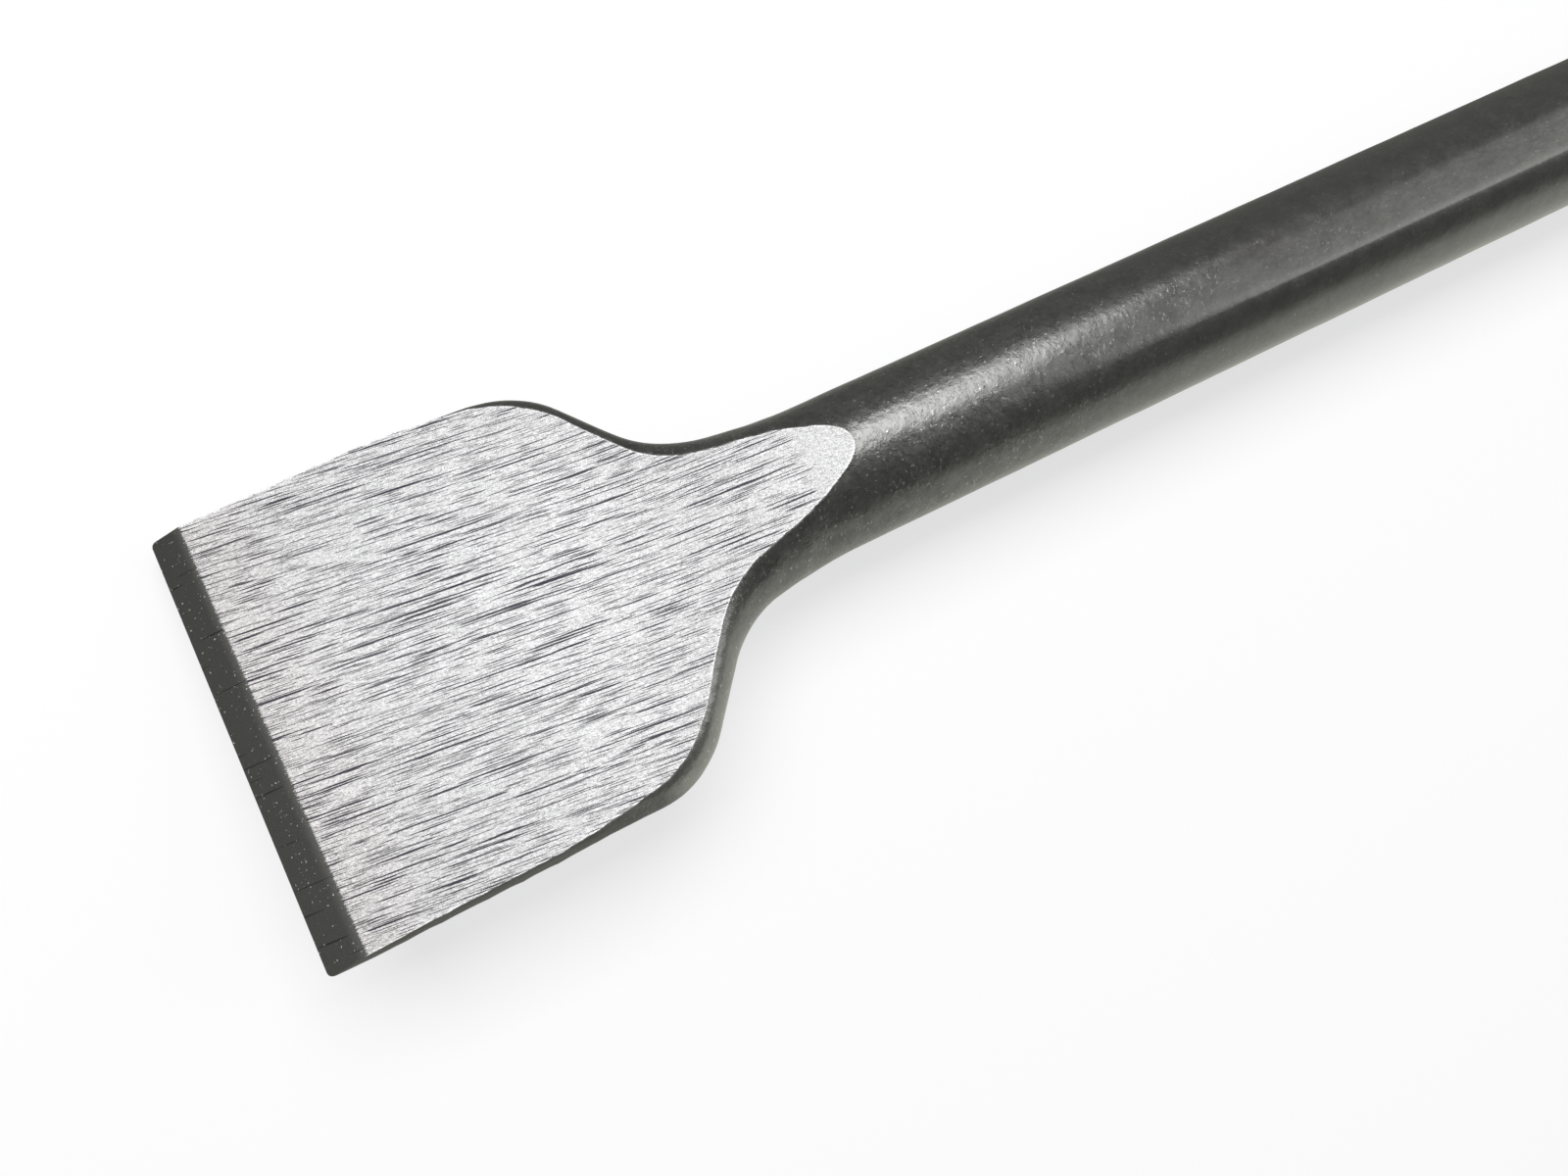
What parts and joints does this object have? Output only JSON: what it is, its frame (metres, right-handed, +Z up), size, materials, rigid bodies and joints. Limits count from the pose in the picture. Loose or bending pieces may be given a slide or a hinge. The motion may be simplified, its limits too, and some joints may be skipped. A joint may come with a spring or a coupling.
{
  "type": "sds flat chisel",
  "caption": "Wide flat chisel for a rotary hammer: ground, bevelled blade forged from a round bar, with a slotted shank for the tool holder.",
  "frame": {"origin": "centre of the shank's flat striking end, on the bar's axis", "axes": "+X along the bar toward the cutting edge, +Z up; the chisel lies as on a floor at Z = -7 mm, rolled about the bar until one side of the blade touches it"},
  "size_m": [0.25, 0.0396, 0.014],
  "materials": {
    "forged_steel": "blasted grey steel, with bright ground faces on the blade and a dark ground bevel at its edge"
  },
  "bodies": {
    "root": {"chisel": "forged_steel"}
  },
  "joints": []
}
